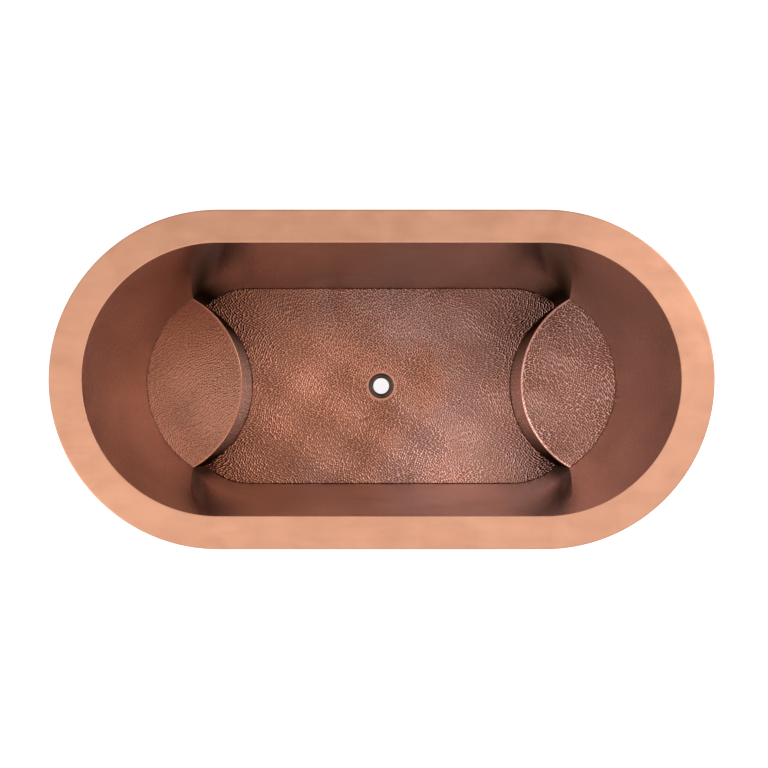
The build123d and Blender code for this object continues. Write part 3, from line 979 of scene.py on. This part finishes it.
def make_skirt_joints(finish):
    """The upright soldered joints where the skirt's panels meet."""
    z = np.linspace(deck_z - 0.004, hem_z, 260)
    reach = half_width - skirt_inset(z) - 0.0004
    for e, side in ((1, "right"), (-1, "left")):
        for s, place in ((1, "rear"), (-1, "front")):
            path = np.stack([np.full(z.shape, e * end_centre_x), s * reach, z], axis=1)
            name = f"skirt_joint_{place}_{side}"
            add_bead(name, path, skirt_bead_r, finish, "skirt_copper", seed=51 + e + 2 * s)


def make_copper(finishes):
    """Every copper sheet, in place of its CAD node."""
    make_rim(finishes["rim"])
    make_floor(finishes["hammered"])
    make_drain_dish(finishes["drain"])
    for e, place, seed in ((1, "right", 1), (-1, "left", 2)):
        make_seat(e, place, finishes["seat"], 20 + seed)
        make_riser(e, place, finishes["riser" if e > 0 else "left_riser"], 60 + seed)
        make_backrest(e, place, finishes["wall"], 70 + seed)
        make_skirt(place, skirt_end(e), math.pi * half_width, finishes["skirt"], 80 + seed)
    for s, place, seed in ((1, "rear", 3), (-1, "front", 4)):
        make_side_wall(s, place, finishes["wall" if s > 0 else "front_wall"], 70 + seed)
        make_skirt(place, skirt_side(s), 2 * end_centre_x, finishes["skirt"], 80 + seed)
    make_beads(finishes["joint"], finishes["seat_joint"])
    make_skirt_joints(finishes["skirt_joint"])


def finish_cad_nodes(finishes):
    """The CAD nodes that stay get their own finishes."""
    kinds = {"steel": ("rim_bracket", "seat_rib", "base_ring", "frame_rail", "cross_bar"),
             "zinc": ("foot_cup", "foot_stud", "weld_nuts", "lock_nuts"),
             "rubber": ("foot_pad",), "strap": ("seam_strap",)}
    for name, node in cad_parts.items():
        for kind, starts in kinds.items():
            if name.startswith(starts):
                for place in node.material_slots:
                    place.material = finishes[kind]


def make_finishes():
    """Every finish by name. Each copper has a bright, a dull and a warm colour."""
    pink, orange, brown = rgb(0.68, 0.36, 0.295), rgb(0.70, 0.285, 0.175), rgb(0.52, 0.235, 0.165)
    dull_wall, pale, hazy = rgb(0.64, 0.45, 0.385), rgb(0.90, 0.88, 0.90), rgb(0.78, 0.62, 0.56)
    # lean here paints the floor and seats lighter towards the right: painted light
    hammered = {"rough": (0.18, 0.28), "lean": 0.32}
    wall = {"patch": 3.2, "rough": (0.27, 0.33), "dent_shade": 0.92, "carve": 0.0001, "cloud": 0.03}
    riser = {"patch": 6.0, "rough": (0.18, 0.24), "cloud": 0.03, "lean": -0.5}
    return {
        "rim": satin_copper("rim_satin_copper", rgb(0.89, 0.455, 0.292), rgb(0.82, 0.405, 0.258)),
        "hammered": copper("floor_copper", pink, brown, orange,
                           patch=4.2, dent_shade=0.24, carve=0.0011, **hammered),
        "seat": copper("seat_copper", pink, brown, orange,
                       patch=4.8, dent_shade=0.22, carve=0.0012, **hammered),
        "wall": copper("wall_copper", rgb(0.76, 0.56, 0.49), dull_wall, rgb(0.74, 0.54, 0.45), **wall),
        # the front wall's paler, pinker copy of the wall finish, lighter towards the right, is painted
        # light
        "front_wall": copper("front_wall_copper", rgb(0.74, 0.60, 0.58), dull_wall,
                             rgb(0.72, 0.50, 0.40), lean=0.35, **wall),
        # the risers' near-white bright colour is a painted highlight; the left riser's paler copy adds a
        # painted sheen
        "riser": copper("riser_copper", pale, hazy, rgb(0.74, 0.54, 0.44), **riser),
        "left_riser": copper("left_riser_copper", pale, rgb(0.80, 0.70, 0.68), hazy, painted_sheen=0.25, **riser),
        "skirt": copper("skirt_copper", rgb(0.70, 0.37, 0.265), rgb(0.50, 0.25, 0.17),
                        rgb(0.72, 0.35, 0.22), 3.4, (0.20, 0.30), dent_shade=0.74, carve=0.0007),
        "strap": copper("strap_copper", rgb(0.70, 0.36, 0.26), rgb(0.55, 0.27, 0.19),
                        rgb(0.70, 0.34, 0.22), 5.0, (0.35, 0.5)),
        # the drain ring's near-black copper is painted shade of its recess
        "drain": copper("drain_copper", rgb(0.13, 0.085, 0.075), rgb(0.07, 0.05, 0.045),
                        rgb(0.10, 0.065, 0.055), 30.0, (0.28, 0.38)),
        "joint": solder("joint_copper", rgb(0.10, 0.035, 0.02), rgb(0.20, 0.08, 0.045)),
        "seat_joint": solder("seat_joint_copper", rgb(0.24, 0.10, 0.06), rgb(0.34, 0.16, 0.10)),
        "skirt_joint": solder("skirt_joint_copper", rgb(0.30, 0.14, 0.09), rgb(0.48, 0.25, 0.17)),
        "steel": painted_steel("frame_paint"),
        "zinc": zinc("zinc_plate"),
        "rubber": rubber("foot_rubber"),
    }


# ================ the studio
def make_stage():
    """A plain pale floor, softly lit through itself so that it stays white behind the tub."""
    size = 40.0
    corners = [(-size, -size, 0), (size, -size, 0), (size, size, 0), (-size, size, 0)]
    mesh = bpy.data.meshes.new("stage_floor")
    mesh.from_pydata(corners, [], [(0, 1, 2, 3)])
    mesh.materials.append(pale_floor("stage_white"))
    floor = bpy.data.objects.new("stage_floor", mesh)
    bpy.context.scene.collection.objects.link(floor)
    floor.visible_glossy = False


def add_softbox(name, place, target, size, glow, tint):
    """A soft panel facing a target. Its glow is how bright a mirror would show it."""
    light = bpy.data.lights.new(name, "AREA")
    light.shape = "RECTANGLE"
    light.size, light.size_y = size
    light.energy = glow * math.pi * size[0] * size[1]
    light.color = tint
    lamp = bpy.data.objects.new(name, light)
    lamp.location = place
    lamp.rotation_euler = (Vector(target) - Vector(place)).to_track_quat("-Z", "Y").to_euler()
    lamp.visible_camera = False
    bpy.context.scene.collection.objects.link(lamp)


def light_room():
    """Pale walls all round, dimmer overhead between the softboxes and dimmer below the tub's sides."""
    world = bpy.data.worlds.new("studio")
    world.use_nodes = True
    tree = world.node_tree
    background = tree.nodes["Background"]
    place = tree.nodes.new("ShaderNodeTexCoord")
    height = tree.nodes.new("ShaderNodeSeparateXYZ")
    both = tree.nodes.new("ShaderNodeMath")
    both.operation = "MULTIPLY"
    tree.links.new(place.outputs["Generated"], height.inputs[0])
    overhead, below = (0.12, 0.74, 1.0, 0.26), (-0.32, -0.02, 0.48, 1.0)
    for n, (start, end, low, high) in enumerate((overhead, below)):
        fade = tree.nodes.new("ShaderNodeMapRange")
        fade.interpolation_type = "SMOOTHSTEP"
        for key, value in {"From Min": start, "From Max": end, "To Min": low, "To Max": high}.items():
            fade.inputs[key].default_value = value
        tree.links.new(height.outputs["Z"], fade.inputs["Value"])
        tree.links.new(fade.outputs["Result"], both.inputs[n])
    tree.links.new(both.outputs[0], background.inputs["Strength"])
    background.inputs["Color"].default_value = rgb(1.0, 1.0, 1.0)
    bpy.context.scene.world = world


def light_studio():
    """The pale room, two wide ceiling panels and a key light from each side."""
    light_room()
    add_softbox("ceiling_right", (1.95, -0.9, 4.7), (1.95, -0.9, 0), (3.9, 4.8), 0.66, (1.0, 0.99, 0.99))
    add_softbox("ceiling_left", (-1.95, -0.9, 4.7), (-1.95, -0.9, 0), (3.9, 4.8), 0.62, (1.0, 0.97, 0.93))
    add_softbox("key_right", (3.2, 1.5, 3.9), (0.2, 0.0, 0.3), (1.6, 1.9), 3.0, (1.0, 0.98, 0.98))
    add_softbox("key_left", (-3.2, -1.6, 3.9), (-0.2, 0.0, 0.3), (1.6, 1.9), 2.0, (1.0, 0.97, 0.94))
    bpy.context.scene.view_settings.view_transform = "Standard"


def aim_camera():
    """Straight down from above the tub's middle, where the photograph was taken from."""
    camera = bpy.data.cameras.new("camera")
    camera.lens = 53.5
    camera.sensor_width = 36.0
    camera.shift_x, camera.shift_y = 0.0065, 0.0456
    eye = bpy.data.objects.new("camera", camera)
    eye.location = (-0.007, -0.107, 3.767)
    bpy.context.scene.collection.objects.link(eye)
    bpy.context.scene.camera = eye


finishes = make_finishes()
aim_camera()
light_studio()
make_stage()
make_copper(finishes)
finish_cad_nodes(finishes)
